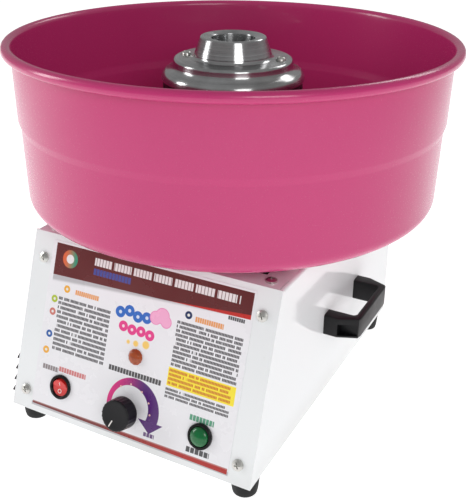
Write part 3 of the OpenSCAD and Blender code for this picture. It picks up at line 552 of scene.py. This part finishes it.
enamel = pink_enamel()
bowl = bmesh.new()
inner_wall = [(205.2, 345.1), (205.0, 340), (203.3, 284.4)]
inner_wall += [(203.0, 281.2), (201.3, 275.4), (201.0, 273.4), (199, 208)]
outline = [(12, 194)] + arc(186.5, 208, 14, -90, 0, 10)
outline += [(202.5, 272.8), (202.8, 274.4), (204.5, 279.4), (204.9, 281.2), (206.5, 340)]
outline += arc(210.1, 345.1, 4.9, -140, 180, 22)[:-1] + inner_wall
outline += arc(186.5, 208, 12.5, 0, -90, 10) + [(12, 195.5)]
turned(bowl, outline, 160)
piece("spun_bowl", bowl, enamel, "cabinet", ["bowl"], 50)
white_nylon = moulded("white nylon", rgb(232, 232, 228), rgb(214, 212, 205), 0.4, 0.55)
dress(white_nylon, "bowl_spacers", "board_standoffs")

# ---------------------------------------------------------------------------
# Collar: a turned steel ring, riveted to the bowl's floor round the shaft
# hole, that keeps sugar out of the motor.
# ---------------------------------------------------------------------------


def lathe_metal(
    name, dark, light, smooth, rough, pitch=0.0009, depth=0.00002, strength=0.5, heat=0.0, streak=0.5
):
    """Metal turned round the Z axis, so its tool marks run as rings."""
    made, place, feed = finish(name, Metallic=1.0, Anisotropic=streak, Anisotropic_Rotation=0.25)
    radius = (place.axis(0).maths("POWER", 2) + place.axis(1).maths("POWER", 2)).maths("SQRT")
    rings = radius.node("CombineXYZ", {}, {"X": radius / pitch, "Y": place.axis(2) / pitch, "Z": 0.0})
    marks = rings.noise(1.0, 5, 0.7)
    cloud = place.noise(35, 5, 0.6)
    shine = (marks * 0.6 + cloud * 0.4).ramp(0.3, 0.7)
    stain = place.noise(18, 4).ramp(0.45, 0.7) * heat
    feed("Base Color", stain.mix(shine.mix(dark, light), rgb(116, 92, 62)))
    feed("Roughness", shine.ramp(0, 1, rough, smooth))
    feed("Normal", marks.node("Bump", {}, {"Height": marks, "Strength": strength, "Distance": depth}))
    return made


turned_steel = lathe_metal("turned steel", rgb(150, 150, 150), rgb(196, 196, 194), 0.22, 0.36)
dress(turned_steel, "bowl_collar", "motor_shaft", "extension_tube")

# ---------------------------------------------------------------------------
# Spinner head: a cast and turned aluminium cover with a sugar mouth, screwed
# at two points of its flange onto the slotted heater band and the base disc.
# ---------------------------------------------------------------------------
dull, bright = rgb(140, 141, 142), rgb(198, 199, 200)
aluminium = lathe_metal(
    "turned aluminium", dull, bright, 0.16, 0.3, pitch=0.0006, strength=0.4, heat=0.1, streak=0.85
)
cover = bmesh.new()
profile = [(20.8, 325), (20.8, 346.6)] + arc(21.9, 346.5, 1.1, 170, 110, 3) + [(27.6, 348.5)]
profile += arc(30.0, 347.0, 1.9, 96, 6, 7) + [(37.3, 332.4)] + arc(40.6, 332.2, 3.7, 186, 268, 6)
profile += arc(54.9, 325.6, 2.9, 90, 2, 6) + [(58.0, 322.4), (58.5, 320.9), (60.4, 318.5)]
profile += arc(61.9, 311.0, 7.0, 68, 2, 9) + arc(67.4, 309.1, 1.6, 0, -90, 5)
profile += [(63.0, 307.5), (63.0, 311.5), (55.8, 316.5), (54.8, 325)]
turned(cover, profile, 128)
piece("turned_head_cover", cover, aluminium, "spinner", ["head_cover"], 40)

dome_screws = bmesh.new()
for turn in (14, 194):
    dome = [(0, 330.9), (2.0, 330.9), (2.5, 331.4)] + arc(1.3, 328.2, 3.6, 62, 8, 6)
    spot = Matrix.Rotation(math.radians(turn), 4, "Z") @ Matrix.Translation((46.5 * MM, 0, 0))
    turned(dome_screws, dome + [(4.7, 327.4), (0, 327.4)], 32, False, spot)
piece("dome_head_screws", dome_screws, plated, "spinner", ["head_screws"])

dress(lathe_metal("heat-stained steel", rgb(84, 82, 80), rgb(128, 126, 122), 0.3, 0.5, heat=0.7), "head_base")
soot, scale_grey = rgb(16, 15, 15), rgb(40, 38, 36)
black_band = lathe_metal("heat-blackened band", soot, scale_grey, 0.4, 0.55, pitch=0.0012, depth=0.00003)
dress(black_band, "heater_band")
dress(worn_metal("oxidised heater wire", rgb(88, 60, 46), rgb(132, 116, 104), 0.4, 0.6), "heating_element")

# ---------------------------------------------------------------------------
# Frame and motor: zinc-plated rails and bridge under the top, with a small
# induction motor hung below on rubber rings; its fan blows past the windings.
# ---------------------------------------------------------------------------
zinc = worn_metal("zinc-plated sheet", rgb(140, 143, 146), rgb(178, 180, 182), 0.34, 0.5, 60, 0.00008)
dress(zinc, "frame_rail_left", "frame_rail_right", "motor_bridge")
cast = worn_metal("cast aluminium", rgb(150, 151, 152), rgb(184, 184, 184), 0.42, 0.58, 700, 0.0002)
dress(cast, "motor_upper_bell", "motor_lower_bell")
laminations = worn_metal("varnished laminations", rgb(38, 40, 43), rgb(66, 64, 62), 0.4, 0.55, 500)
dress(laminations, "motor_stator", "motor_rotor")
dress(worn_metal("bearing steel", rgb(170, 170, 170), rgb(208, 208, 208), 0.14, 0.24), "shaft_bearings")
dress(rubber, "rubber_isolators")


def wound_copper():
    made, place, feed = finish("varnished copper wire", Metallic=0.8)
    turn = place.axis(1).maths("ARCTAN2", place.axis(0))
    strand = ((turn * 90) + place.noise(60, 2) * 6).maths("SINE")
    feed("Base Color", strand.ramp(-1, 1).mix(rgb(112, 50, 26), rgb(190, 104, 58)))
    feed("Roughness", strand.ramp(-1, 1, 0.42, 0.28))
    feed("Normal", strand.node("Bump", {}, {"Height": strand, "Strength": 0.8, "Distance": 0.0004}))
    return made


dress(wound_copper(), "motor_windings")
dress(moulded("dark nylon", rgb(28, 32, 36), rgb(58, 62, 66), 0.38, 0.5), "cooling_fan")

# ---------------------------------------------------------------------------
# Slip rings: two brass rings on a brown sleeve carry the heater's current,
# through carbon brushes that springs push inwards in a black holder.
# ---------------------------------------------------------------------------
dress(moulded("brown phenolic", rgb(84, 48, 26), rgb(112, 74, 46), 0.36, 0.5, 500), "slip_ring_sleeve")
dress(lathe_metal("turned brass", rgb(176, 134, 62), rgb(214, 178, 104), 0.2, 0.36), "slip_rings")
carbon = moulded("pressed carbon", rgb(26, 26, 28), rgb(56, 56, 58), 0.45, 0.6, 900)
dress(carbon, "brush_upper", "brush_lower")
spring_steel = worn_metal("drawn spring wire", rgb(150, 150, 148), rgb(206, 206, 202), 0.2, 0.32)


def coil(name, r, wire, length, turns, spot, body, replaced):
    """A round wire wound upwards round the Z axis, then put in its place."""
    shape = bmesh.new()
    steps = 24
    sides = 8
    loops = []
    for i in range(turns * steps + 1):
        turn = 2 * math.pi * i / steps
        height = wire + (length - 2 * wire) * i / (turns * steps)
        loop = []
        for k in range(sides):
            around = 2 * math.pi * k / sides
            reach = r + wire * math.cos(around)
            point = Vector((reach * math.cos(turn), reach * math.sin(turn), height + wire * math.sin(around)))
            loop.append(shape.verts.new(point * MM))
        loops.append(loop)
    for near, far in zip(loops, loops[1:]):
        for k in range(sides):
            after = (k + 1) % sides
            shape.faces.new((near[k], near[after], far[after], far[k]))
    shape.faces.new(loops[0])
    shape.faces.new(loops[-1])
    placed(shape, spot)
    return piece(name, shape, spring_steel, body, [replaced], 60)


for level, height in (("upper", 179.5), ("lower", 164.5)):
    brush_end = (32 * MM, 0, height * MM)
    lying = Matrix.Translation(brush_end) @ Matrix.Rotation(math.radians(90), 4, "Y")
    spring = coil(f"{level}_brush_coil", 2, 0.35, 12, 6, lying, f"{level}_brush", f"brush_spring_{level}")
    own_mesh(spring)

gloss_black = moulded("glossy black moulding", rgb(14, 14, 15), rgb(34, 34, 36), 0.14, 0.24, 900, 0.00003)
dress(gloss_black, "brush_holder", "cable_gland", "fuse_holder")

# ---------------------------------------------------------------------------
# Rocker switch: a round snap-in housing with a red rocker that shows a bar on
# its upper half and a circle on its lower half, which is pressed in at rest.
# ---------------------------------------------------------------------------
dress(gloss_black, "rocker_housing", "start_button_housing")


def bezel(name, x, lip):
    """A round flange on the panel, 23 mm across, with the arcs of its raised lip."""
    shape = bmesh.new()
    turned(shape, [(8.8, 0.3), (11.5, 0.3)] + lip, 64)
    placed(shape, on_panel(x, control_s))
    piece(name, shape, gloss_black, "cabinet")


def clear_plastic(name, base, deep, patch, smooth, rough, scale=1200, depth=0.00003, **constants):
    """Tinted plastic that light enters a little, smooth and slightly cloudy."""
    made, place, feed = finish(name, **constants)
    cloud = place.noise(patch, 3)
    feed("Base Color", cloud.mix(base, deep))
    feed("Roughness", cloud.ramp(0.3, 0.7, smooth, rough))
    feed("Normal", grain(place, scale, depth, 0.3))
    return made


bezel("rocker_bezel", -switch_x, arc(10.7, 1.5, 0.8, 0, 90, 5) + arc(9.6, 1.5, 0.8, 90, 180, 5))
red = clear_plastic(
    "red rocker plastic", rgb(238, 58, 54), rgb(216, 42, 42), 220, 0.16, 0.26, IOR=1.5, Subsurface_Weight=0.2
)
dress(red, "main_rocker")
white_mark = moulded("white marking", rgb(240, 236, 232), rgb(220, 212, 206), 0.4, 0.5)
marks = bmesh.new()
lower_face = Matrix.Translation((0, -4.1 * MM, -0.13 * MM)) @ Matrix.Rotation(math.radians(-12), 4, "X")
turned(marks, [(1.5, 2.9), (2.1, 2.9), (2.1, 3.1), (1.5, 3.1)], 32, spot=lower_face)
upper_face = Matrix.Translation((0, 4.1 * MM, 2.87 * MM)) @ Matrix.Rotation(math.radians(12), 4, "X")
block(marks, (0.6, 3.2, 0.2), upper_face)
placed(marks, on_panel(-switch_x, control_s, -1) @ Matrix.Rotation(math.radians(12), 4, "X"))
piece("rocker_marks", marks, white_mark, "power_rocker")

# ---------------------------------------------------------------------------
# Start button: a green domed plunger in a round black bezel, held out by a
# coil spring, that clicks in and springs back.
# ---------------------------------------------------------------------------
bezel("button_bezel", switch_x, arc(10.6, 2.4, 0.9, 0, 90, 5) + arc(9.8, 2.3, 1.0, 90, 180, 5))
green = clear_plastic(
    "green button plastic", rgb(6, 112, 58), rgb(4, 94, 48), 200, 0.14, 0.24, IOR=1.5, Subsurface_Weight=0.15
)
plunger = bmesh.new()
cap = [(0, -9), (8.4, -9), (8.4, 3.4)] + arc(7.7, 3.4, 0.7, 0, 50, 4) + arc(0, -5.9, 12.9, 52, 90, 8)
turned(plunger, cap, 64, False)
placed(plunger, on_panel(switch_x, control_s))
piece("domed_button", plunger, green, "button", ["start_button"], 50)
seat = on_panel(switch_x, control_s, -17)
button_coil = coil("button_coil", 5, 0.5, 8, 4, seat, "button", "start_button_spring")
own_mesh(button_coil)

# ---------------------------------------------------------------------------
# Pilot lamp: a dark amber lens with a ring of facets, pushed into the panel
# on a white body with a spring nut behind.
# ---------------------------------------------------------------------------
amber = clear_plastic(
    "dark amber lens", rgb(190, 92, 46), rgb(128, 50, 24), 320, 0.1, 0.2, scale=900, depth=0.00004, IOR=1.52
)
lens = bmesh.new()
lens_outline = [(0, 0.3), (7.3, 0.3), (7.3, 1.2), (6.9, 1.7), (6.6, 2.1), (4.8, 3.9), (2.6, 4.6), (0, 4.7)]
turned(lens, lens_outline, 12, False)
rounded(lens, lens.edges[:], 0.12, 1)
placed(lens, on_panel(0, 80.5))
piece("faceted_lens", lens, amber, "cabinet", ["pilot_lamp_lens"], 12)
dress(moulded("white lamp body", rgb(222, 220, 212), rgb(196, 192, 182), 0.35, 0.5), "pilot_lamp_body")

# ---------------------------------------------------------------------------
# Heat knob: a black moulded knob with shallow finger ribs and a white line,
# pressed on the shaft of the rotary control behind the panel.
# ---------------------------------------------------------------------------
knob_black = moulded("black knob plastic", rgb(18, 18, 21), rgb(34, 34, 38), 0.28, 0.38)
knob = bmesh.new()
knob_side = [(0, 18.2), (3, 18.2), (3, 7.6), (11.3, 7.6), (11.3, 6.9), (13.9, 6.9)]
knob_side += [(14.5, 7.5), (14.4, 9.0), (14.1, 10.0), (13.9, 19.0)]
knob_side += arc(12.9, 19.5, 1.0, 0, 90, 4) + [(11.0, 20.3), (0, 20.3)]
turned(knob, knob_side, 144, False)
for vert in knob.verts:
    reach = math.hypot(vert.co.x, vert.co.y)
    if reach > 13.4 * MM and vert.co.z > 9.5 * MM:
        rib = 0.28 * MM * max(0.0, math.cos(24 * math.atan2(vert.co.y, vert.co.x)))
        vert.co.x *= 1 + rib / reach
        vert.co.y *= 1 + rib / reach
placed(knob, on_panel(0, control_s))
piece("ribbed_knob", knob, knob_black, "heat_control", ["heat_knob"], 40)
pointer = bmesh.new()
block(pointer, (1.1, 8.0, 0.3), Matrix.Translation((0, -9.2 * MM, 20.25 * MM)))
rounded(pointer, pointer.edges[:], 0.08, 2)
placed(pointer, on_panel(0, control_s) @ Matrix.Rotation(math.radians(-24), 4, "Z"))
piece("knob_pointer", pointer, white_mark, "heat_control")
dress(plated, "potentiometer_shaft")
dress(worn_metal("pressed can", rgb(150, 148, 142), rgb(190, 188, 182), 0.3, 0.44), "potentiometer")

# ---------------------------------------------------------------------------
# Electrics: the control board with its relay and heat sink, the terminal
# block and the wires, all fixed to the base inside the cabinet.
# ---------------------------------------------------------------------------
dress(moulded("green board", rgb(24, 92, 52), rgb(40, 112, 66), 0.3, 0.42, 500), "control_board")
dress(moulded("dark components", rgb(26, 28, 32), rgb(60, 62, 66), 0.36, 0.5, 400), "board_components")
dress(moulded("ivory terminals", rgb(222, 214, 186), rgb(198, 188, 160), 0.4, 0.52), "terminal_block")
dress(moulded("red wire cover", rgb(150, 26, 22), rgb(112, 20, 20), 0.34, 0.46), "wiring_loom")
